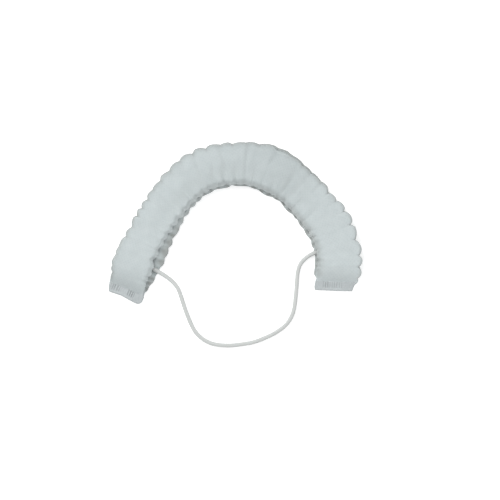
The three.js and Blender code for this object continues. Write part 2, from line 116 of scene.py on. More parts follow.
# soft pleat lines that cross the top panel: place at its lip and at its outer fold, where across it
# they start and end (0 lip, 1 outer fold), depth, half width
PLEAT_LINES = np.array([
    (33.0, 33.5, 0.10, 0.55, 0.10, 1.5), (57.5, 57.5, 0.30, 0.95, 0.09, 1.3), (70.0, 70.0, 0.00, 0.50, 0.12, 1.4),
    (79.0, 80.0, 0.60, 1.00, 0.16, 1.2), (82.8, 82.8, 0.00, 0.22, 0.12, 1.2), (87.0, 87.4, 0.70, 1.00, 0.22, 1.1),
    (89.2, 96.0, 0.00, 0.36, 0.22, 1.2), (97.2, 98.8, 0.00, 0.62, 0.20, 1.3), (103.0, 103.0, 0.72, 1.00, 0.15, 1.2),
    (104.2, 104.2, 0.00, 0.25, 0.24, 1.1), (110.0, 111.6, 0.00, 1.00, 0.25, 1.2), (116.6, 125.0, 0.00, 0.50, 0.34, 1.1),
    (126.0, 129.6, 0.00, 0.42, 0.27, 1.1), (131.2, 128.6, 0.48, 1.00, 0.36, 1.0), (137.5, 137.5, 0.00, 0.46, 0.20, 1.1),
    (145.2, 146.9, 0.00, 0.66, 0.30, 1.0), (145.2, 146.9, 0.66, 1.00, 0.46, 1.0), (154.8, 153.4, 0.00, 0.38, 0.26, 1.1),
    (162.0, 162.0, 0.00, 0.25, 0.16, 1.2), (160.0, 164.4, 0.72, 1.00, 0.20, 1.1), (170.8, 170.8, 0.00, 0.26, 0.20, 1.2),
    (181.2, 180.2, 0.00, 0.92, 0.36, 1.2), (187.4, 189.8, 0.00, 1.00, 0.18, 1.2), (197.8, 199.5, 0.00, 0.30, 0.26, 1.2),
    (197.8, 199.5, 0.80, 1.00, 0.22, 1.1), (211.0, 211.0, 0.00, 0.50, 0.13, 1.5), (227.0, 227.0, 0.15, 0.80, 0.10, 1.6),
    (247.0, 247.0, 0.20, 0.85, 0.10, 1.5),
])

# outlines of the fused ends: distance from the cut, half widths on the concave and the convex side
WELD_LEFT = np.array([(0, 13.5, 12.2), (1.2, 14.05, 12.6), (3.2, 14.2, 13.4), (5.2, 14.2, 13.85), (7.2, 13.75, 14.1), (9.0, 13.3, 14.2)])
WELD_RIGHT = np.array([(0, 16.6, 11.4), (2.0, 17.0, 12.1), (4.0, 16.95, 12.9), (5.0, 16.85, 13.4), (6.0, 16.6, 14.5), (7.0, 16.2, 15.0), (9.0, 15.5, 15.2)])

# how far the lower outer fold shows past the upper one
PEEK = np.array([(150, 0.0), (160, 0.5), (164, 2.0), (171, 2.2), (176, 1.2), (190, 1.1), (200, 0.7), (206, 0.0)])

# how much painted shade darkens the outer folds, the hems and the inner half of the top panel, along the strip
# (at, outer fold, its width, top panel's hem, its width, lower hem, inner half of the top panel)
FOLD_SHADE = np.array([
    (0, 0.90, 1.6, 0.10, 2.4, 0.60, 0.00), (20, 0.95, 1.7, 0.08, 2.4, 0.95, 0.00), (55, 1.00, 1.7, 0.06, 2.4, 1.00, 0.00),
    (70, 1.00, 1.8, 0.06, 2.4, 0.56, 0.05), (86, 1.00, 1.9, 0.08, 2.4, 0.52, 0.11), (110, 1.00, 1.9, 0.10, 2.4, 0.42, 0.12),
    (145, 1.00, 2.0, 0.16, 2.2, 0.45, 0.11), (158, 1.00, 2.2, 0.30, 2.4, 0.60, 0.04), (200, 1.00, 2.2, 0.50, 3.0, 0.70, 0.05),
    (212, 0.75, 1.6, 0.62, 3.4, 0.75, 0.04), (277, 0.70, 1.4, 0.75, 3.4, 0.80, 0.02),
])

# fused ends: place across the strip (convex side positive), how clearly the ribs are pressed there,
# how much darker the band between them is drawn
RIBS_LEFT = np.array([
    (-14, 0.08, 0.22), (-7.4, 0.12, 0.22), (-6.2, 1.0, 0.16), (-4.4, 1.0, 0.10), (-2.2, 1.0, 0.06), (-1.2, 0.50, 0.0),
    (-0.5, 0.12, 0.0), (4.4, 0.15, 0.0), (5.6, 0.75, 0.0), (11.2, 0.75, 0.08), (12.4, 0.25, 0.10), (14.4, 0.1, 0.10),
])
RIBS_RIGHT = np.array([
    (-17, 0.1, 0.14), (-12.6, 0.15, 0.10), (-11.2, 0.35, 0.08), (-9.2, 0.75, 0.10), (-6.0, 0.75, 0.06), (-5.0, 0.50, 0.0),
    (3.4, 0.55, 0.0), (4.8, 0.25, 0.22), (5.8, 0.15, 0.24), (15, 0.1, 0.22),
])

# middle line of the elastic, from inside the left arm to inside the right arm
ROUTE = np.array([
    (-70.7, -30.4, 2.7), (-62.4, -34.1, 2.7), (-56.5, -37.55, 2.65), (-51, -40.95, 1.95),
    (-45.3, -45.6, 1.55), (-41.7, -50.3, 1.55), (-39.6, -55.6, 1.55), (-35.8, -67.1, 1.55),
    (-31, -78.7, 1.55), (-27.7, -84, 1.55), (-22.7, -88.5, 1.55), (-16.7, -91.6, 1.55),
    (-9.9, -92.95, 1.55), (-2.4, -93.25, 1.55), (6.6, -92.3, 1.55), (15.5, -90.7, 1.55),
    (27.8, -85.8, 1.55), (34, -82.3, 1.55), (39.7, -77.7, 1.55), (43.5, -72.3, 1.55),
    (45.8, -65.7, 1.55), (47.5, -51.4, 1.55), (48.6, -38.2, 1.55), (50.1, -33, 1.55),
    (53.2, -28.7, 1.75), (58, -25.1, 2.5), (63.8, -22.7, 2.7), (73.9, -19.4, 2.7),
])
ELASTIC_EXITS = (27.0, 245.2)  # where it crosses the lower lip, along the strip

SHEET = 0.34  # thickness of the non-woven as drawn
LAYER_PITCH = 0.37  # middle to middle of two layers pressed together
SHARE_BOTTOM, SHARE_MIDDLE, SHARE_TOP = 0.44, 0.16, 0.40  # of the free height
ELASTIC_D = 3.1

# ------------------------------------------------------------------ small helpers


def smooth_column(table, value_column, at):
    """Cubic through one column of a table, at distances along the strip."""
    a, v = table[:, 0], table[:, value_column]
    n = len(a)
    hi, lo = np.minimum(np.arange(n) + 1, n - 1), np.maximum(np.arange(n) - 1, 0)
    slope = (v[hi] - v[lo]) / (a[hi] - a[lo])
    at = np.asarray(at, float)
    i = np.clip(np.searchsorted(a, at, side="left") - 1, 0, n - 2)
    span = a[i + 1] - a[i]
    t = (at - a[i]) / span
    t2, t3 = t * t, t * t * t
    return ((2 * t3 - 3 * t2 + 1) * v[i] + (t3 - 2 * t2 + t) * span * slope[i]
            + (-2 * t3 + 3 * t2) * v[i + 1] + (t3 - t2) * span * slope[i + 1])


def section(key, at):
    return smooth_column(SECTIONS, SECTION_COLUMNS.index(key), at)


def free_height(at):
    """Height shared by the spaces between the layers, without overshoot at the flat stretches."""
    a, v = HEIGHTS[:, 0], HEIGHTS[:, 1]
    d = np.diff(v) / np.diff(a)
    m = np.zeros(len(a))
    same = d[1:] * d[:-1] > 0
    m[1:-1][same] = 2 * d[1:][same] * d[:-1][same] / (d[1:][same] + d[:-1][same])
    at = np.asarray(at, float)
    i = np.clip(np.searchsorted(a, at, side="left") - 1, 0, len(a) - 2)
    span = a[i + 1] - a[i]
    t = np.clip((at - a[i]) / span, 0, 1)
    t2, t3 = t * t, t * t * t
    return ((2 * t3 - 3 * t2 + 1) * v[i] + (t3 - 2 * t2 + t) * span * m[i]
            + (-2 * t3 + 3 * t2) * v[i + 1] + (t3 - t2) * span * m[i + 1])


def strip_frame(at):
    """Middle of the strip and the way to its convex side, in the part's frame."""
    at = np.asarray(at, float)
    dx = section("x", at + 0.5) - section("x", at - 0.5)
    dy = section("y", at + 0.5) - section("y", at - 0.5)
    length = np.hypot(dx, dy)
    return section("x", at) - ORIGIN_X, section("y", at) - ORIGIN_Y, -dy / length, dx / length


def step(a, b, x):
    t = np.clip((x - a) / (b - a), 0, 1)
    return t * t * (3 - 2 * t)


def mix(a, b, t):
    return a + (b - a) * t


def waves(seed, count, shortest, longest):
    """A smooth, repeatable random field over two distances in millimetres, about -1 to 1."""
    rng = np.random.default_rng(seed)
    length = np.exp(rng.uniform(math.log(shortest), math.log(longest), count))
    angle = rng.uniform(0, 2 * math.pi, count)
    phase = rng.uniform(0, 2 * math.pi, count)
    kx, ky = 2 * math.pi / length * np.cos(angle), 2 * math.pi / length * np.sin(angle)

    def field(a, b):
        a, b = np.broadcast_arrays(a, b)
        total = np.zeros(a.shape)
        for x, y, p in zip(kx, ky, phase):
            total += np.cos(x * a + y * b + p)
        return total * math.sqrt(2.0 / count) * 0.6

    return field


def grid_faces(rows, cols, offset, flip):
    i, j = np.meshgrid(np.arange(rows - 1), np.arange(cols - 1), indexing="ij")
    a = offset + i * cols + j
    quads = np.stack([a, a + 1, a + cols + 1, a + cols], -1).reshape(-1, 4)
    return quads[:, ::-1] if flip else quads


def mesh_piece(name, verts, quads, maps=None, smooth=True):
    """A mesh object from arrays. maps holds UV maps as one coordinate pair per vertex."""
    me = bpy.data.meshes.new(name)
    quads = np.ascontiguousarray(quads, np.int32)
    me.vertices.add(len(verts))
    me.vertices.foreach_set("co", np.ascontiguousarray(verts, np.float32).ravel())
    me.loops.add(quads.size)
    me.loops.foreach_set("vertex_index", quads.ravel())
    me.polygons.add(len(quads))
    me.polygons.foreach_set("loop_start", np.arange(0, quads.size, 4, dtype=np.int32))
    me.update(calc_edges=True)
    me.validate()
    me.polygons.foreach_set("use_smooth", np.full(len(me.polygons), smooth))
    for map_name, uv in (maps or {}).items():
        layer = me.uv_layers.new(name=map_name)
        index = np.zeros(len(me.loops), np.int32)
        me.loops.foreach_get("vertex_index", index)
        layer.uv.foreach_set("vector", np.ascontiguousarray(uv[index], np.float32).ravel())
    me.update()
    ob = bpy.data.objects.new(name, me)
    bpy.context.scene.collection.objects.link(ob)
    return ob


# ------------------------------------------------------------------ camera
scene = bpy.context.scene
PHOTO_SCALE = 0.75  # millimetres for a pixel of the 500 x 500 frame
VIEW_X = ((250 - 233.2) * PHOTO_SCALE - ORIGIN_X) * MM
VIEW_Y = ((221.5 - 250) * PHOTO_SCALE - ORIGIN_Y) * MM
CAMERA_HEIGHT = 1.6
FOCUS_HEIGHT = 0.008

cam = bpy.data.cameras.new("camera")
cam.sensor_width = 36.0
cam.lens = 36.0 * (CAMERA_HEIGHT - FOCUS_HEIGHT) / (500 * PHOTO_SCALE * MM)
cam.clip_start, cam.clip_end = 0.01, 50
camera = bpy.data.objects.new("camera", cam)
camera.location = (VIEW_X, VIEW_Y, CAMERA_HEIGHT)
camera.rotation_euler = (0, 0, 0)
scene.collection.objects.link(camera)
scene.camera = camera

# ------------------------------------------------------------------ materials


def new_material(name):
    m = bpy.data.materials.new(name)
    m.use_nodes = True
    nt = m.node_tree
    nt.nodes.clear()
    out = nt.nodes.new("ShaderNodeOutputMaterial")
    bsdf = nt.nodes.new("ShaderNodeBsdfPrincipled")
    nt.links.new(bsdf.outputs["BSDF"], out.inputs["Surface"])
    return m, nt, bsdf


def node(nt, kind, **settings):
    n = nt.nodes.new(kind)
    for k, v in settings.items():
        setattr(n, k, v)
    return n


def math_node(nt, operation, a, b=None, clamp=False):
    n = node(nt, "ShaderNodeMath", operation=operation, use_clamp=clamp)
    for socket, value in zip(n.inputs, (a, b)):
        if value is None:
            continue
        if isinstance(value, (int, float)):
            socket.default_value = value
        else:
            nt.links.new(value, socket)
    return n.outputs[0]


def ramp(nt, value, stops):
    n = node(nt, "ShaderNodeValToRGB")
    e = n.color_ramp.elements
    while len(e) < len(stops):
        e.new(0.5)
    for item, (pos, colour) in zip(e, stops):
        item.position = pos
        item.color = (*colour, 1.0)
    nt.links.new(value, n.inputs["Fac"])
    return n.outputs["Color"]


def bond_points(nt, uv_map, pitch):
    """Height of the staggered oval bond points of a spunbond sheet, 0 on the web and 1 in a point."""
    uv = node(nt, "ShaderNodeUVMap", uv_map=uv_map)
    turned = node(nt, "ShaderNodeMapping", vector_type="POINT")
    turned.inputs["Rotation"].default_value = (0, 0, math.radians(45))
    turned.inputs["Scale"].default_value = (1 / pitch, 1 / pitch, 1)
    nt.links.new(uv.outputs["UV"], turned.inputs["Vector"])
    split = node(nt, "ShaderNodeSeparateXYZ")
    nt.links.new(turned.outputs["Vector"], split.inputs[0])
    gap = []
    for axis in ("X", "Y"):
        f = math_node(nt, "FRACT", split.outputs[axis])
        gap.append(math_node(nt, "ABSOLUTE", math_node(nt, "SUBTRACT", f, 0.5)))
    d = math_node(nt, "SQRT", math_node(
        nt, "ADD", math_node(nt, "MULTIPLY", gap[0], gap[0]), math_node(nt, "MULTIPLY", gap[1], gap[1])))
    soft = node(nt, "ShaderNodeMapRange", interpolation_type="SMOOTHSTEP")
    soft.inputs["From Min"].default_value = 0.20
    soft.inputs["From Max"].default_value = 0.34
    soft.inputs["To Min"].default_value = 1.0
    soft.inputs["To Max"].default_value = 0.0
    nt.links.new(d, soft.inputs["Value"])
    return uv, soft.outputs["Result"]


def nonwoven_material():
    m, nt, bsdf = new_material("nonwoven")
    uv, bonds = bond_points(nt, "cloth", 1.9)
    # cloudy weight of the sheet
    cloud = node(nt, "ShaderNodeTexNoise")
    cloud.inputs["Scale"].default_value = 0.16
    cloud.inputs["Detail"].default_value = 4.0
    cloud.inputs["Roughness"].default_value = 0.6
    nt.links.new(uv.outputs["UV"], cloud.inputs["Vector"])
    # loose fibres, drawn out along the sheet
    stretch = node(nt, "ShaderNodeMapping", vector_type="POINT")
    stretch.inputs["Scale"].default_value = (1.1, 4.2, 1.0)
    nt.links.new(uv.outputs["UV"], stretch.inputs["Vector"])
    fibre = node(nt, "ShaderNodeTexNoise")
    fibre.inputs["Scale"].default_value = 1.6
    fibre.inputs["Detail"].default_value = 5.0
    fibre.inputs["Roughness"].default_value = 0.65
    fibre.inputs["Distortion"].default_value = 1.4
    nt.links.new(stretch.outputs["Vector"], fibre.inputs["Vector"])
    tone = math_node(nt, "ADD", math_node(nt, "MULTIPLY", cloud.outputs["Fac"], 0.62),
                     math_node(nt, "MULTIPLY", fibre.outputs["Fac"], 0.38))
    colour = ramp(nt, tone, [(0.30, (0.586, 0.652, 0.661)), (0.52, (0.621, 0.686, 0.694)),
                             (0.72, (0.656, 0.720, 0.726))])
    # painted light and shade along the strip: darker over the top of the arch and most on its right shoulder, lighter
    # down the right arm and most on the right end's slope, which lies in shade
    place = node(nt, "ShaderNodeSeparateXYZ")
    nt.links.new(uv.outputs["UV"], place.inputs[0])
    share = math_node(nt, "DIVIDE", place.outputs["X"], 277.0)
    painted_light_drift = ramp(nt, share, [(0.0, (0.95,) * 3), (0.08, (0.965,) * 3), (0.15, (0.985,) * 3), (0.29, (0.965,) * 3),
                             (0.49, (0.93,) * 3), (0.65, (0.87,) * 3), (0.74, (0.985,) * 3), (0.84, (1.015,) * 3),
                             (0.92, (1.05,) * 3), (0.96, (1.12,) * 3)])
    light_drifted = node(nt, "ShaderNodeMix", data_type="RGBA", blend_type="MULTIPLY")
    light_drifted.inputs["Factor"].default_value = 1.0
    nt.links.new(colour, light_drifted.inputs["A"])
    nt.links.new(painted_light_drift, light_drifted.inputs["B"])
    colour = light_drifted.outputs["Result"]
    # painted shade: greyer along the outer folds, in the troughs of the gathered hems, on the inner half of the top
    # panel and along the pleat lines, where shade falls
    fold = node(nt, "ShaderNodeAttribute", attribute_name="fold")
    fold_shaded = node(nt, "ShaderNodeMix", data_type="RGBA", blend_type="MULTIPLY")
    fold_shaded.inputs["Factor"].default_value = 1.0
    nt.links.new(colour, fold_shaded.inputs["A"])
    nt.links.new(ramp(nt, fold.outputs["Fac"], [(0.0, (1.0, 1.0, 1.0)), (1.0, (0.62, 0.595, 0.575))]),
                 fold_shaded.inputs["B"])
    colour = fold_shaded.outputs["Result"]
    dots = node(nt, "ShaderNodeMix", data_type="RGBA", blend_type="MULTIPLY")
    dots.inputs["Factor"].default_value = 1.0
    nt.links.new(colour, dots.inputs["A"])
    shade = ramp(nt, bonds, [(0.0, (1.0, 1.0, 1.0)), (1.0, (0.955, 0.965, 0.968))])
    nt.links.new(shade, dots.inputs["B"])
    nt.links.new(dots.outputs["Result"], bsdf.inputs["Base Color"])
    height = math_node(nt, "SUBTRACT", math_node(nt, "MULTIPLY", fibre.outputs["Fac"], 0.55), bonds)
    bump = node(nt, "ShaderNodeBump")
    bump.inputs["Strength"].default_value = 0.22
    bump.inputs["Distance"].default_value = 0.00022
    nt.links.new(height, bump.inputs["Height"])
    nt.links.new(bump.outputs["Normal"], bsdf.inputs["Normal"])
    rough = node(nt, "ShaderNodeMapRange")
    rough.inputs["To Min"].default_value = 0.82
    rough.inputs["To Max"].default_value = 0.55
    nt.links.new(bonds, rough.inputs["Value"])
    nt.links.new(rough.outputs["Result"], bsdf.inputs["Roughness"])
    bsdf.inputs["Specular IOR Level"].default_value = 0.28
    bsdf.inputs["Sheen Weight"].default_value = 0.12
    bsdf.inputs["Sheen Roughness"].default_value = 0.5
    # some light passes through the thin sheet
    bsdf.inputs["Subsurface Weight"].default_value = 0.26
    bsdf.inputs["Subsurface Radius"].default_value = (1.0, 1.0, 1.0)
    bsdf.inputs["Subsurface Scale"].default_value = 0.002
    return m


def fused_material():
    m, nt, bsdf = new_material("fused_nonwoven")
    uv, bonds = bond_points(nt, "cloth", 1.9)
    mottle = node(nt, "ShaderNodeTexNoise")
    mottle.inputs["Scale"].default_value = 0.7
    mottle.inputs["Detail"].default_value = 5.0
    mottle.inputs["Roughness"].default_value = 0.6
    nt.links.new(uv.outputs["UV"], mottle.inputs["Vector"])
    colour = ramp(nt, mottle.outputs["Fac"], [(0.30, (0.454, 0.493, 0.503)), (0.55, (0.507, 0.546, 0.556)),
                                              (0.75, (0.555, 0.591, 0.597))])
    # darker in the grooves between the ribs, where the film is pressed hardest and clearest and painted shade lies too;
    # darker also along the cut and across parts of the band
    press_and_groove_shade = node(nt, "ShaderNodeAttribute", attribute_name="press_and_groove_shade")
    groove_shaded = node(nt, "ShaderNodeMix", data_type="RGBA", blend_type="MULTIPLY")
    groove_shaded.inputs["Factor"].default_value = 1.0
    nt.links.new(colour, groove_shaded.inputs["A"])
    nt.links.new(ramp(nt, press_and_groove_shade.outputs["Fac"], [(0.0, (1.0,) * 3), (1.0, (0.70,) * 3)]), groove_shaded.inputs["B"])
    nt.links.new(groove_shaded.outputs["Result"], bsdf.inputs["Base Color"])
    bump = node(nt, "ShaderNodeBump")
    bump.inputs["Strength"].default_value = 0.25
    bump.inputs["Distance"].default_value = 0.00015
    height = math_node(nt, "SUBTRACT", mottle.outputs["Fac"], math_node(nt, "MULTIPLY", bonds, 0.4))
    nt.links.new(height, bump.inputs["Height"])
    nt.links.new(bump.outputs["Normal"], bsdf.inputs["Normal"])
    rough = node(nt, "ShaderNodeMapRange")
    rough.inputs["To Min"].default_value = 0.42
    rough.inputs["To Max"].default_value = 0.66
    nt.links.new(mottle.outputs["Fac"], rough.inputs["Value"])
    nt.links.new(rough.outputs["Result"], bsdf.inputs["Roughness"])
    bsdf.inputs["Specular IOR Level"].default_value = 0.42
    return m


def elastic_material():
    m, nt, bsdf = new_material("knitted_elastic")
    uv = node(nt, "ShaderNodeUVMap", uv_map="cloth")
    grain = node(nt, "ShaderNodeTexNoise")
    grain.inputs["Scale"].default_value = 2.6
    grain.inputs["Detail"].default_value = 4.0
    nt.links.new(uv.outputs["UV"], grain.inputs["Vector"])
    colour = ramp(nt, grain.outputs["Fac"], [(0.30, (0.560, 0.585, 0.575)), (0.55, (0.640, 0.660, 0.648)),
                                             (0.75, (0.690, 0.705, 0.692))])
    nt.links.new(colour, bsdf.inputs["Base Color"])
    bump = node(nt, "ShaderNodeBump")
    bump.inputs["Strength"].default_value = 0.3
    bump.inputs["Distance"].default_value = 0.00012
    nt.links.new(grain.outputs["Fac"], bump.inputs["Height"])
    nt.links.new(bump.outputs["Normal"], bsdf.inputs["Normal"])
    rough = node(nt, "ShaderNodeMapRange")
    rough.inputs["To Min"].default_value = 0.75
    rough.inputs["To Max"].default_value = 0.95
    nt.links.new(grain.outputs["Fac"], rough.inputs["Value"])
    nt.links.new(rough.outputs["Result"], bsdf.inputs["Roughness"])
    bsdf.inputs["Specular IOR Level"].default_value = 0.25
    bsdf.inputs["Sheen Weight"].default_value = 0.25
    bsdf.inputs["Sheen Roughness"].default_value = 0.6
    return m


def floor_material():
    m, nt, bsdf = new_material("floor_white")
    bsdf.inputs["Base Color"].default_value = (0.88, 0.88, 0.88, 1)
    bsdf.inputs["Roughness"].default_value = 0.9
    bsdf.inputs["Specular IOR Level"].default_value = 0.1
    bsdf.inputs["Emission Color"].default_value = (1, 1, 1, 1)
    bsdf.inputs["Emission Strength"].default_value = 0.42
    return m


nonwoven = nonwoven_material()
fused = fused_material()
elastic = elastic_material()

# ------------------------------------------------------------------ the elastic


def spline(points, per_span=40):
    """Centripetal Catmull-Rom line through the points, at even steps."""
    p = np.vstack([2 * points[0] - points[1], points, 2 * points[-1] - points[-2]])
    line = []
    for k in range(1, len(p) - 2):
        p0, p1, p2, p3 = p[k - 1 : k + 3]
        t0 = 0.0
        t1 = t0 + math.sqrt(np.linalg.norm(p1 - p0))
        t2 = t1 + math.sqrt(np.linalg.norm(p2 - p1))
        t3 = t2 + math.sqrt(np.linalg.norm(p3 - p2))
        t = np.linspace(t1, t2, per_span, endpoint=False)[:, None]
        a1 = (t1 - t) / (t1 - t0) * p0 + (t - t0) / (t1 - t0) * p1
        a2 = (t2 - t) / (t2 - t1) * p1 + (t - t1) / (t2 - t1) * p2
        a3 = (t3 - t) / (t3 - t2) * p2 + (t - t2) / (t3 - t2) * p3
        b1 = (t2 - t) / (t2 - t0) * a1 + (t - t0) / (t2 - t0) * a2
        b2 = (t3 - t) / (t3 - t1) * a2 + (t - t1) / (t3 - t1) * a3
        line.append((t2 - t) / (t2 - t1) * b1 + (t - t1) / (t2 - t1) * b2)
    return np.vstack([*line, points[-1:]])


def evenly(line, spacing):
    d = np.r_[0, np.cumsum(np.linalg.norm(np.diff(line, axis=0), axis=1))]
    n = int(round(d[-1] / spacing))
    s = np.linspace(0, d[-1], n + 1)
    return np.stack([np.interp(s, d, line[:, k]) for k in range(3)], 1), s


def make_elastic():
    points = ROUTE - np.array([ORIGIN_X, ORIGIN_Y, 0.0])
    centre, s = evenly(spline(points), 0.34)
    tangent = np.gradient(centre, axis=0)
    tangent /= np.linalg.norm(tangent, axis=1)[:, None]
    side = np.cross(tangent, [0.0, 0.0, 1.0])
    side /= np.linalg.norm(side, axis=1)[:, None]
    up = np.cross(side, tangent)
    sides = 30
    angle = np.arange(sides) * 2 * math.pi / sides
    # knitted cover: ten wales round the cord, with courses that lean like stitches
    a, b = np.meshgrid(s, angle, indexing="ij")
    wale = np.abs(np.cos(5 * b + 0.035 * a))
    course = 0.5 + 0.5 * np.cos(2 * math.pi * (a / 0.95 + 0.22 * np.cos(10 * b)))
    radius = ELASTIC_D / 2 - 0.11 + 0.085 * np.sqrt(wale) + 0.05 * course * wale
    radius *= 1 + 0.012 * waves(11, 10, 6, 24)(a, 0 * a)
    radius[0] *= 0.93
    radius[-1] *= 0.93
    ring = (centre[:, None, :] + side[:, None, :] * (radius * np.cos(b))[..., None]
            + up[:, None, :] * (radius * np.sin(b))[..., None])
    ring[..., 2] = np.maximum(ring[..., 2], 0.02)
    rows = len(s)
    i, j = np.meshgrid(np.arange(rows - 1), np.arange(sides), indexing="ij")
    j2 = (j + 1) % sides
    quads = np.stack([i * sides + j, i * sides + j2, (i + 1) * sides + j2, (i + 1) * sides + j], -1).reshape(-1, 4)
    verts = ring.reshape(-1, 3)
    # closed ends: each end's ring is drawn in to a small round cap
    caps = []
    for row, way in ((0, -1.0), (rows - 1, 1.0)):
        outer = row * sides + np.arange(sides)
        for share, out in ((0.72, 0.22), (0.30, 0.34)):
            start = len(verts)
            verts = np.vstack([verts, centre[row] + tangent[row] * way * out + (ring[row] - centre[row]) * share])
            inner = start + np.arange(sides)
            strip = np.stack([outer, np.roll(outer, -1), np.roll(inner, -1), inner], -1)
            caps.append(strip[:, ::-1] if way < 0 else strip)
            outer = inner
        half = sides // 2
        k = np.arange(half - 1)
        bridge = np.stack([outer[k], outer[k + 1], outer[sides - 2 - k], outer[sides - 1 - k]], -1)
        caps.append(bridge[:, ::-1] if way < 0 else bridge)
    quads = np.vstack([quads, *caps])
    along = np.concatenate([np.repeat(s, sides), np.zeros(len(verts) - rows * sides)])
    round_ = np.concatenate([np.tile(angle * ELASTIC_D / 2, rows), np.zeros(len(verts) - rows * sides)])
    ob = mesh_piece("head_elastic_knit", verts * MM, quads, {"cloth": np.stack([along, round_], 1)})
    ob.data.materials.append(elastic)
    return ob, centre * MM, s[-1] * MM


elastic_piece, elastic_path, elastic_length = make_elastic()
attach(elastic_piece, "root")
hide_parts("head_elastic")

# ------------------------------------------------------------------ the pleated web


def between(at, marks):
    """Which pair of marks a place lies between, and how far along."""
    i = np.clip(np.searchsorted(marks, at, side="right") - 1, 0, len(marks) - 2)
    return i, np.clip((at - marks[i]) / (marks[i + 1] - marks[i]), 0, 1)


def edge_line(table, at, cusp):
    """An edge through its nicks and crests: half width, hump (0 in a nick, 1 on a crest), the same
    softened, and how deep the nick beside each place is."""
    a, v, nick = table[:, 0], table[:, 1], table[:, 2] > 0
    depth_of = np.zeros(len(a))
    for k in np.flatnonzero(nick):
        around = [v[j] - v[k] for j in (k - 1, k + 1) if 0 <= j < len(a)]
        depth_of[k] = max(0.0, sum(around) / len(around))
    i, t = between(at, a)
    to_nick = ~nick[i] & nick[i + 1]
    plain = nick[i] == nick[i + 1]
    rise = np.where(to_nick, 1 - t, t)
    hump = np.sin(math.pi / 2 * rise) ** cusp
    soft = np.sin(math.pi / 2 * rise) ** 2
    low, high = np.where(to_nick, v[i + 1], v[i]), np.where(to_nick, v[i], v[i + 1])
    line = np.where(plain, mix(v[i], v[i + 1], t * t * (3 - 2 * t)), mix(low, high, hump))
    depth = np.where(to_nick, depth_of[i + 1], depth_of[i])
    return line, np.where(plain, 1.0, hump), np.where(plain, 1.0, soft), np.where(plain, 0.0, depth)


def gathers(at, crests, shift=0.0):
    """Height of the gathers at a lip, 0 in a trough and 1 on a crest, and the crests' height."""
    i, t = between(at + shift, crests[:, 0])
    wave = 1 - (0.5 - 0.5 * np.cos(2 * math.pi * t)) ** 1.3
    return wave, mix(crests[i, 1], crests[i + 1, 1], t)


def stations(spacing=0.66):
    """Places along the strip, close together at the nicks."""
    at = []
    for (a, _, nick_a), (b, _, nick_b) in zip(EDGE[:-1], EDGE[1:]):
        n = max(3, int(round((b - a) / spacing)))
        k = np.arange(n) / n
        if nick_a and not nick_b:
            k = 0.5 * k + 0.5 * k * k
        elif nick_b and not nick_a:
            k = 1 - (0.5 * (1 - k) + 0.5 * (1 - k) ** 2)
        at.append(a + (b - a) * k)
    return np.concatenate([*at, EDGE[-1:, 0]])


def even_ends(n, strength=0.55):
    k = np.arange(n) / (n - 1)
    return strength * (0.5 - 0.5 * np.cos(math.pi * k)) + (1 - strength) * k


def rib_grooves(u, strength):
    """Ribs of a fused end, 0 on a rib and up to 1 in a groove, across the strip."""
    drawn = u + 0.22 * waves(23, 9, 4.0, 11.0)(u, 0 * u)
    phase = np.abs(((drawn / 1.72) % 1.0) - 0.5) * 2
    return step(0.34, 0.72, phase) * np.interp(u, strength[:, 0], strength[:, 1])


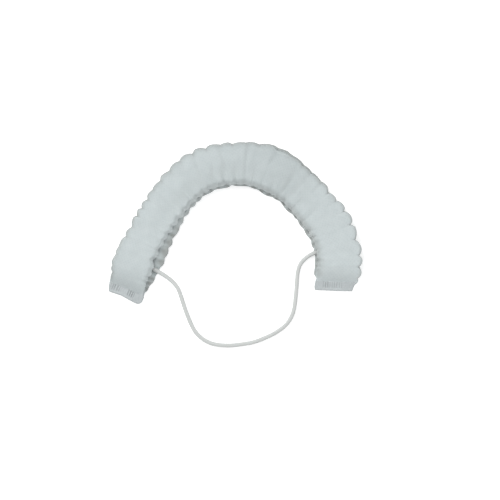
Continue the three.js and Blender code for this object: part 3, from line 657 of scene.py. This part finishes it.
def make_web():
    at = stations()
    col = lambda v: v[:, None]
    inner = section("inner", at)
    lip, droop = np.maximum(section("lip", at), 0), np.maximum(section("droop", at), 0)
    free = free_height(at)
    full = free / HEIGHTS[:, 1].max()
    cusp = np.interp(at, [0, 60, 120, 180, 205], [0.95, 0.90, 0.80, 0.75, 0.60])
    edge, hump, soft, depth = edge_line(EDGE, at, cusp)
    lower = EDGE.copy()
    rng = np.random.default_rng(5)
    lower[1:-1, 0] += rng.uniform(-0.9, 0.9, len(EDGE) - 2)
    lower[:, 0] = np.maximum.accumulate(lower[:, 0] + np.arange(len(lower)) * 1e-6)
    edge_c, hump_c, soft_c, depth_c = edge_line(lower, at, cusp)
    low_edge, low_hump, _, _ = edge_line(LOWER_LIP, at, 1.15)
    wave4, lift4 = gathers(at, GATHERS)
    wave4 = np.clip(wave4 + 0.16 * waves(33, 16, 2.8, 7.0)(at, 0 * at), 0, 1.04)  # no two gathers alike
    wave1, lift1 = gathers(at, GATHERS, 0.15)
    wave_b, lift_b = gathers(at, GATHERS, -1.9)
    flat_exit = np.ones(len(at))
    for e in ELASTIC_EXITS:
        flat_exit *= 1 - np.exp(-((at - e) / 2.0) ** 4)
    # by the left exit the gathers are low, and the top panel's hem comes down onto the elastic
    on_cord = np.exp(-((at - ELASTIC_EXITS[0]) / 6.0) ** 2)
    droop = droop + 2.7 * on_cord
    lift4 = lift4 * (1 - 0.75 * on_cord)
    from_end = np.minimum(at, 277 - at)

    # heights of the four layers; pressed closer together as they run into the fused ends
    pitch = LAYER_PITCH * mix(0.66, 1.0, step(6.2, 9.5, from_end))
    z4 = np.full(len(at), SHEET / 2 + 0.02)
    z3 = z4 + pitch + SHARE_BOTTOM * free
    z2 = z3 + pitch + SHARE_MIDDLE * free
    z1 = z2 + pitch + SHARE_TOP * free

    # edges across the strip
    edge4 = -low_edge
    pull = waves(32, 18, 5.0, 14.0)(at, 0 * at)
    # where the panel's lip is set back far, it reaches out over the lower gathers and down onto them
    onto = step(3.2, 5.2, lip)
    sway = 0.9 * np.clip(lip / 3.0, 0.5, 1.0) + 0.17 * np.maximum(lip - 2.6, 0)
    lip1 = -inner + lip - (sway * (wave1 - 0.5) + 0.40 * pull) * full
    lip1 -= 1.8 * np.exp(-((at - ELASTIC_EXITS[0] + 0.8) / 3.2) ** 2)  # it reaches out over the elastic
    gusset = -inner + 6.4 + 0.6 * lip + 1.1 * (wave_b - 0.5) * full
    apex_a = edge - 0.50 - np.interp(at, PEEK[:, 0], PEEK[:, 1])
    apex_c = edge_c + 0.05
    loop_a = mix(0.30, 2.0, full) * mix(0.70, 1.0, hump)
    loop_c = mix(0.30, 2.1, full) * mix(0.70, 1.0, hump_c)
    loop_b = mix(0.25, 0.95, full)
    end_a, end_c, start_b = apex_a - loop_a, apex_c - loop_c, gusset + loop_b

    broad = waves(3, 22, 13.0, 34.0)
    fine = waves(4, 26, 3.2, 7.5)
    ripple = waves(6, 22, 5.0, 11.0)
    s2 = col(at)

    # --- top panel
    f1 = even_ends(34)[None, :]
    u1 = mix(col(lip1), col(end_a), f1)
    out1 = col(apex_a) - u1
    in1 = np.maximum(u1 - col(lip1), 0)
    into = step(0.5, 4.5, out1)
    nick1 = 1 - mix(col(hump), col(soft), into)
    pinch = np.minimum(0.16 + 0.24 * depth, 0.40 * (z1 - z2 - SHEET))
    # gathers of the top panel's own hem: ridges that run in from the lip and die out
    pucker = waves(31, 26, 2.6, 7.5)
    ridge = np.abs(pucker(s2, u1 * 0.06 + 7.0))
    ridge = 0.75 - np.minimum(ridge, 1.1)
    # the panel's hem turns down sharply on the arms and in a long soft bend at the top of the arch
    droop_reach = np.interp(at, [55, 95, 122, 184, 206, 215], [2.6, 3.1, 4.8, 4.8, 3.6, 3.5]) + 0.6 * on_cord
    droop_bend = np.interp(at, [84, 118, 186, 208], [1.7, 2.9, 2.9, 1.7])
    top = (col(z1)
           - col(droop) * np.clip(1 - in1 / col(droop_reach), 0, 1) ** col(droop_bend)
           - col(0.8 * full) * step(0.55, 1.0, f1) ** 1.5
           - col(pinch) * nick1 * np.exp(-((out1 / 1.6) ** 1.25))
           + col(mix(0.20, -0.24, onto) * np.minimum(lift1, 4.0) * full) * (col(wave1) - 0.55) * np.exp(-((in1 / 4.2) ** 1.3))
           + col(np.interp(at, [60, 95, 190, 208, 240, 248], [0.5, 0.95, 0.95, 0.45, 0.45, 0.2]) * full) * ridge * np.exp(-((in1 / 7.0) ** 1.2)) * mix(0.55, 1.0, step(0.0, 2.0, in1))
           + col(0.30 * full) * broad(s2 * 1.25, u1)
           + col(0.07 * full) * fine(s2 * 1.5, u1 * 0.55) * (np.exp(-out1 / 4) + np.exp(-in1 / 4) + 0.12)
           + col(0.10 * full) * ripple(s2 * 1.3, u1 * 0.35) * (0.3 + np.exp(-out1 / 6) + np.exp(-in1 / 6))
           - col(0.30 * (1 - step(8.0, 11.5, from_end))) * np.where(s2 < 138, rib_grooves(u1, RIBS_LEFT), rib_grooves(u1, RIBS_RIGHT)))
    # pleat lines: a low ridge that falls off into a valley, with the line on the slope between them
    pleat_line_shade = np.zeros(top.shape)
    for at_lip, at_fold, start, stop, deep, width in PLEAT_LINES:
        d = (s2 - mix(at_lip, at_fold, f1) - 0.5 * np.sin(f1 * 5.3 + at_lip)) / (width * mix(1.35, 1.85, 0.5 + 0.5 * np.sin(f1 * 7.1 + 2 * at_lip)))
        reach = col(full) * deep * step(start - 0.22, start + 0.10, f1) * (1 - step(stop - 0.10, stop + 0.22, f1))
        reach = reach * mix(0.6, 1.15, 0.5 + 0.5 * np.sin(f1 * 6.3 + at_lip))
        top -= reach * (np.exp(-((d - 0.6) ** 2)) - 0.6 * np.exp(-(((d + 0.75) / 1.2) ** 2)))
        # painted shade along each pleat line
        pleat_line_shade += reach * np.exp(-(d ** 2))
    parts = [(u1, top)]

    # --- upper outer fold and the upper gusset layer
    f2 = even_ends(13)[None, :]
    u2 = mix(col(end_a), col(start_b), f2)
    out2 = col(apex_a) - u2
    in2 = np.maximum(u2 - col(gusset), 0)
    second = (col(z2)
              + col(pinch) * (1 - col(hump)) * np.exp(-((out2 / 4.0) ** 1.25))
              + col(0.30 * full) * (col(wave_b) - 0.5) * np.exp(-in2 / 6.0)
              + col(0.16 * full) * broad(s2 * 1.25 + 40, u2))
    second = np.minimum(second, np.stack([np.interp(u, a, b) for u, a, b in zip(u2, u1, top)]) - 0.72 * pitch[:, None])

    def loop(end, reach, upper, lower_, count, way):
        a = (math.pi / 2 - math.pi * np.arange(1, count + 1) / (count + 1))[None, :]
        mid, half = (upper + lower_) / 2, (upper - lower_) / 2
        return col(end) + way * col(reach) * np.cos(a), col(mid) + col(half) * np.sin(a)

    parts.append(loop(end_a, loop_a, top[:, -1], second[:, 0], 10, 1))
    parts.append((u2, second))

    # --- lower gusset layer
    f3 = even_ends(13)[None, :]
    u3 = mix(col(start_b), col(end_c), f3)
    out3 = col(apex_c) - u3
    in3 = np.maximum(u3 - col(gusset), 0)
    pinch_c = np.minimum(0.30 + 0.45 * depth_c, 0.40 * (z3 - z4 - SHEET))
    third = (col(z3)
             - col(pinch_c) * (1 - col(hump_c)) * np.exp(-((out3 / 4.5) ** 1.25))
             + col(0.30 * full) * (col(wave_b) - 0.5) * np.exp(-in3 / 6.0)
             + col(0.14 * full) * broad(s2 * 1.25 + 80, u3))
    parts.append(loop(start_b, loop_b, second[:, -1], third[:, 0], 7, -1))
    parts.append((u3, third))

    # --- bottom panel, flat on the surface but for its nicks and its gathered lip
    f4 = even_ends(26)[None, :]
    u4 = mix(col(end_c), col(edge4), f4)
    out4 = col(apex_c) - u4
    in4 = np.maximum(u4 - col(edge4), 0)
    # its gathers stand highest just under the top panel's lip
    peak = np.maximum(0.6, lip - 0.4)
    stand = mix(0.40, 1.0, np.sin(math.pi / 2 * np.clip(in4 / col(peak), 0, 1)))
    stand *= np.exp(-((np.maximum(in4 - col(peak), 0) / 3.2) ** 2))
    trough = np.interp(at, [10, 22, 54, 66, 84, 100, 120, 140], [0.74, 0.72, 0.80, 0.89, 0.84, 0.72, 0.62, 0.46])  # shallower gathers on the shoulder
    fourth = (col(z4)
              + col(0.55 * pinch_c) * (1 - col(hump_c)) * np.exp(-((out4 / 4.0) ** 1.3))
              + col(lift4 * flat_exit * full) * col(mix(trough, 1.0, wave4)) * stand
              + col(0.14 * full * flat_exit) * (1 + ripple(s2 * 1.6, u4 * 0.3)) * np.exp(-in4 / 5.0))
    # it lies in a hollow under the elastic
    cx, cy, nx, ny = (col(v) for v in strip_frame(at))
    route = np.asarray(elastic_path)[::3] / MM
    for end in (route[: len(route) // 5], route[-(len(route) // 5):]):
        apart = np.hypot((cx + nx * u4)[..., None] - end[:, 0], (cy + ny * u4)[..., None] - end[:, 1])
        nearest = apart.argmin(-1)
        beside = np.take_along_axis(apart, nearest[..., None], -1)[..., 0]
        room = ELASTIC_D / 2 + 0.5
        under = end[nearest, 2] - np.sqrt(np.maximum(room ** 2 - beside ** 2, 0))
        fourth = np.where(beside < room, np.minimum(fourth, np.maximum(under, col(z4))), fourth)
    parts.append(loop(end_c, loop_c, third[:, -1], fourth[:, 0], 10, 1))
    parts.append((u4, fourth))

    u = np.concatenate([p[0] for p in parts], 1)
    z = np.concatenate([p[1] for p in parts], 1)
    rows, cols = u.shape
    middle = np.stack([cx + nx * u, cy + ny * u, z], -1)

    # thickness, with a small bead along both lips
    along_j = np.cumsum(np.linalg.norm(np.diff(middle, axis=1), axis=2), axis=1)
    across = np.concatenate([np.zeros((rows, 1)), along_j], 1)
    total = across[:, -1:]
    bead = np.exp(-((across / 0.7) ** 2)) + np.exp(-(((total - across) / 0.7) ** 2))
    thick = SHEET * (1 + 0.75 * bead * col(full)) * mix(0.66, 1.0, step(6.2, 9.5, col(from_end)))
    ds, dj = np.gradient(middle, axis=0), np.gradient(middle, axis=1)
    normal = np.cross(dj, ds)
    normal /= np.maximum(np.linalg.norm(normal, axis=2), 1e-9)[..., None]
    if normal[rows // 2, 10, 2] < 0:
        normal = -normal
    a = middle + normal * (thick / 2)[..., None]
    b = middle - normal * (thick / 2)[..., None]
    for skin in (a, b):
        skin[..., 2] = np.maximum(skin[..., 2], 0.02)
    verts = np.vstack([a.reshape(-1, 3), b.reshape(-1, 3)])
    n = rows * cols
    quads = [grid_faces(rows, cols, 0, False), grid_faces(rows, cols, n, True)]

    def rim(line):
        line = np.asarray(line)
        return np.stack([line[:-1], line[1:], line[1:] + n, line[:-1] + n], -1)

    r, c = np.arange(rows), np.arange(cols)
    quads.append(rim(r * cols))
    quads.append(rim(r * cols + cols - 1)[:, ::-1])
    quads.append(rim(c)[:, ::-1])
    quads.append(rim((rows - 1) * cols + c))
    quads = np.vstack(quads)
    # outward faces: a face in the middle of the top panel points up
    face = verts[quads[(rows // 2) * (cols - 1) + 10]]
    if np.cross(face[1] - face[0], face[2] - face[0])[2] < 0:
        quads = quads[:, ::-1]

    mean_across = across.mean(0)[None, :].repeat(rows, 0)
    cloth = np.stack([np.broadcast_to(s2, u.shape), mean_across], -1).reshape(-1, 2)
    su = (s2 - at[0]) / (at[-1] - at[0])
    sv = mean_across / mean_across.max()
    front = np.stack([0.004 + 0.992 * np.broadcast_to(su, u.shape), 0.004 + 0.488 * sv], -1).reshape(-1, 2)
    back = front + np.array([0.0, 0.5])
    ob = mesh_piece("pleated_web_cloth", verts * MM, quads,
                    {"cloth": np.vstack([cloth, cloth]), "OFBake": np.vstack([front, back])})
    # how far each place is into an outer fold, for the painted shade along it
    to_fold = np.maximum(col(np.maximum(apex_a, apex_c)) - u, 0)
    outer_fold_shade, width, upper_hem_shade, upper_width, lower_hem_shade, inner_half_shade = (
        col(np.interp(at, FOLD_SHADE[:, 0], FOLD_SHADE[:, k])) for k in range(1, 7))
    fold = outer_fold_shade * np.exp(-((to_fold / width) ** 1.6)) + 0.05 * np.exp(-((to_fold / 4.5) ** 1.5))
    # painted shade in the gathered hems, darkest in their troughs and less by the elastic; also on the inner half of
    # the top panel and along its pleat lines, and none on the fused ends
    lower_hem_shade = lower_hem_shade * col(1 - 0.7 * on_cord)
    fold[:, -f4.shape[1]:] += lower_hem_shade * (np.exp(-((in4 / col(2.0 + 0.34 * lip)) ** 2)) * col(mix(1.0, np.interp(at, [22, 54, 62, 88, 104, 240, 248], [0.76, 0.76, 0.90, 0.90, 0.76, 0.76, 0.94]), wave4))
                                           + col(np.interp(at, [22, 34, 54, 62, 90, 104, 240, 248], [0.90, 0.78, 0.72, 0.36, 0.36, 0.90, 0.90, 0.40]) * (1 - wave4)) * np.exp(-((in4 / col(0.74 * lip + 0.6)) ** 4)))
    fold[:, : f1.shape[1]] += upper_hem_shade * np.exp(-((in1 / upper_width) ** 2)) + inner_half_shade * (1 - step(-4.0, 5.0, u1)) + 0.28 * pleat_line_shade
    fold = (np.minimum(fold, 1.0) * step(6.5, 12.0, col(from_end))).astype(np.float32).ravel()
    ob.data.attributes.new("fold", "FLOAT", "POINT").data.foreach_set("value", np.concatenate([fold, fold]))
    ob.data.materials.append(nonwoven)
    return ob


web = make_web()
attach(web, "root")
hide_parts("pleated_web")

# ------------------------------------------------------------------ fused ends


def make_weld(name, node_name, cut_at, way, outline, rib_strength, rib_reach, rim, bow):
    """A fused end: four layers pressed to a thin band with a row of short ribs along the strip,
    a plain rim, and a cut edge that shows the layers."""
    d = np.concatenate([np.linspace(0, 1.9, 8)[:-1], np.linspace(1.9, 2.6, 7)[:-1],
                        np.linspace(2.6, 6.0, 9)[:-1], np.linspace(6.0, 9.0, 13)])
    dd, ff = np.meshgrid(d, np.linspace(0, 1, 190), indexing="ij")
    inner, outer = smooth_column(outline, 1, dd), smooth_column(outline, 2, dd)
    u = mix(-inner, outer, ff)
    # the cut isn't quite straight
    cut = np.interp(ff, [x for x, _ in bow], [y for _, y in bow]) * (1 - step(0, 5.5, dd))
    rough_cut = 0.07 * waves(21, 14, 0.9, 3.5)(u, 0 * u) * (1 - step(0, 1.2, dd))
    at = cut_at + way * (dd + cut + rough_cut)
    side = np.minimum(ff, 1 - ff) * (inner + outer)
    roundoff = step(0.0, 0.6, side)
    thick = 1.32 + 0.08 * waves(22, 16, 4.0, 12.0)(u, dd) + 0.14 * step(0.0, 0.6, dd) * (1 - step(1.2, 1.9, dd))
    ribs = rib_grooves(u, rib_strength) * step(*rib_reach[:2], dd) * (1 - step(*rib_reach[2:], dd))
    top = (thick - 0.50 * ribs) * mix(0.55, 1.0, roundoff) * mix(0.88, 1.0, step(0, 0.35, dd))
    top -= 0.60 * step(6.6, 9.0, dd)
    low = 0.02 + 0.10 * (1 - roundoff)
    x, y, nx, ny = strip_frame(at)
    upper = np.stack([x + nx * u, y + ny * u, top], -1)
    lower = np.stack([x + nx * u, y + ny * u, low], -1)
    rows, cols = top.shape

    # cut edge: rows of points between top and bottom, drawn in between the layers
    levels = 9
    out = upper[0] - upper[1]
    out[:, 2] = 0
    out /= np.linalg.norm(out, axis=1)[:, None]
    steps = []
    for k in range(1, levels):
        share = k / levels
        row = mix(upper[0], lower[0], share)
        steps.append(row + out * (0.07 * math.cos(2 * math.pi * 4 * share) - 0.02))
    ring = np.concatenate([upper[::-1], np.array(steps), lower])
    maps = np.concatenate([
        np.stack([at, u], -1)[::-1],
        np.array([np.stack([np.full(cols, cut_at - way * 1.3 * k / levels), u[0]], -1) for k in range(1, levels)]),
        np.stack([at, u + 60], -1)])
    m = len(ring)
    index = np.arange(m * cols).reshape(m, cols)
    quads = [grid_faces(m, cols, 0, False)]
    last, first = index[-1], index[0]
    quads.append(np.stack([last[:-1], last[1:], first[1:], first[:-1]], -1))
    for c, flip in ((0, False), (cols - 1, True)):
        t, b = index[:rows, c][::-1], index[rows + levels - 1 :, c]
        s = [t[0], *index[rows : rows + levels - 1, c], b[0]]
        cap = [(t[i], t[i + 1], b[i + 1], b[i]) for i in range(rows - 1)]
        cap += [(s[i], s[i + 1], s[-2 - i], s[-1 - i]) for i in range(len(s) // 2 - 1)]
        cap = np.array(cap)
        quads.append(cap[:, ::-1] if flip else cap)
    quads = np.vstack(quads)
    ob = mesh_piece(name, ring.reshape(-1, 3) * MM, quads, {"cloth": maps.reshape(-1, 2)})
    # painted shade in the rib grooves, partly the clearer pressed film; the band darker where listed, and darker along
    # the cut and the sides
    press_and_groove_shade = np.zeros((m, cols), np.float32)
    flat = np.interp(u, rib_strength[:, 0], rib_strength[:, 2])
    press_and_groove_shade[:rows] = np.maximum(np.maximum(ribs, flat), rim * np.maximum(1 - dd / 0.9, 1 - side / 0.9))[::-1]
    ob.data.attributes.new("press_and_groove_shade", "FLOAT", "POINT").data.foreach_set("value", press_and_groove_shade.ravel())
    bm = bmesh.new()
    bm.from_mesh(ob.data)
    bmesh.ops.recalc_face_normals(bm, faces=bm.faces)
    bm.to_mesh(ob.data)
    bm.free()
    ob.data.materials.append(fused)
    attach(ob, "root")
    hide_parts(node_name)
    return ob


weld_left = make_weld("end_weld_left_band", "end_weld_left", 0.0, 1.0, WELD_LEFT, RIBS_LEFT, (1.3, 3.2, 7.8, 8.9), 0.55,
                      [(0.0, 0.6), (0.04, -0.35), (0.10, -0.90), (0.18, -0.90), (0.29, -0.55), (0.42, -0.18), (0.53, 0.28), (0.63, 0.42),
                       (0.76, 0.22), (0.87, 0.05), (0.96, -0.15), (1.0, 0.15)])
weld_right = make_weld("end_weld_right_band", "end_weld_right", 277.0, -1.0, WELD_RIGHT, RIBS_RIGHT, (1.9, 2.5, 5.4, 7.6), 0.25,
                       [(0.0, 0.20), (0.3, 0.0), (0.6, -0.10), (1.0, 0.10)])

# ------------------------------------------------------------------ floor and light
floor_mesh = bpy.data.meshes.new("floor")
floor_mesh.from_pydata([(-6, -6, 0), (6, -6, 0), (6, 6, 0), (-6, 6, 0)], [], [(0, 1, 2, 3)])
floor = bpy.data.objects.new("floor", floor_mesh)
scene.collection.objects.link(floor)
floor_mesh.materials.append(floor_material())

world = bpy.data.worlds.new("studio")
world.use_nodes = True
wt = world.node_tree
sky = node(wt, "ShaderNodeTexCoord")
split = node(wt, "ShaderNodeSeparateXYZ")
wt.links.new(sky.outputs["Generated"], split.inputs[0])
# an overhead softbox: bright above, dimmer towards the horizon
glow = ramp(wt, split.outputs["Z"], [(0.0, (0.18, 0.18, 0.18)), (0.30, (0.40, 0.40, 0.40)), (1.0, (1.12, 1.12, 1.12))])
wt.links.new(glow, wt.nodes["Background"].inputs["Color"])
wt.nodes["Background"].inputs["Strength"].default_value = 0.95
# seen past the edge of the floor, the backdrop is as plain and pale as the floor
backdrop = node(wt, "ShaderNodeBackground")
backdrop.inputs["Color"].default_value = (1.0, 1.0, 1.0, 1.0)
rays = node(wt, "ShaderNodeLightPath")
either = node(wt, "ShaderNodeMixShader")
wt.links.new(rays.outputs["Is Camera Ray"], either.inputs["Fac"])
wt.links.new(wt.nodes["Background"].outputs["Background"], either.inputs[1])
wt.links.new(backdrop.outputs["Background"], either.inputs[2])
wt.links.new(either.outputs["Shader"], wt.nodes["World Output"].inputs["Surface"])
scene.world = world


def area_light(name, place, target, size, power):
    data = bpy.data.lights.new(name, "AREA")
    data.shape = "DISK"
    data.size = size
    data.energy = power
    ob = bpy.data.objects.new(name, data)
    ob.location = place
    ob.rotation_mode = "QUATERNION"
    ob.rotation_quaternion = (Vector(target) - Vector(place)).to_track_quat("-Z", "Y")
    scene.collection.objects.link(ob)
    return ob


area_light("key", (-0.72, 0.92, 1.45), (0, 0, 0), 0.7, 13)

scene.view_settings.view_transform = "Standard"
scene.view_settings.look = "None"
scene.view_settings.exposure = 0
scene.view_settings.gamma = 1
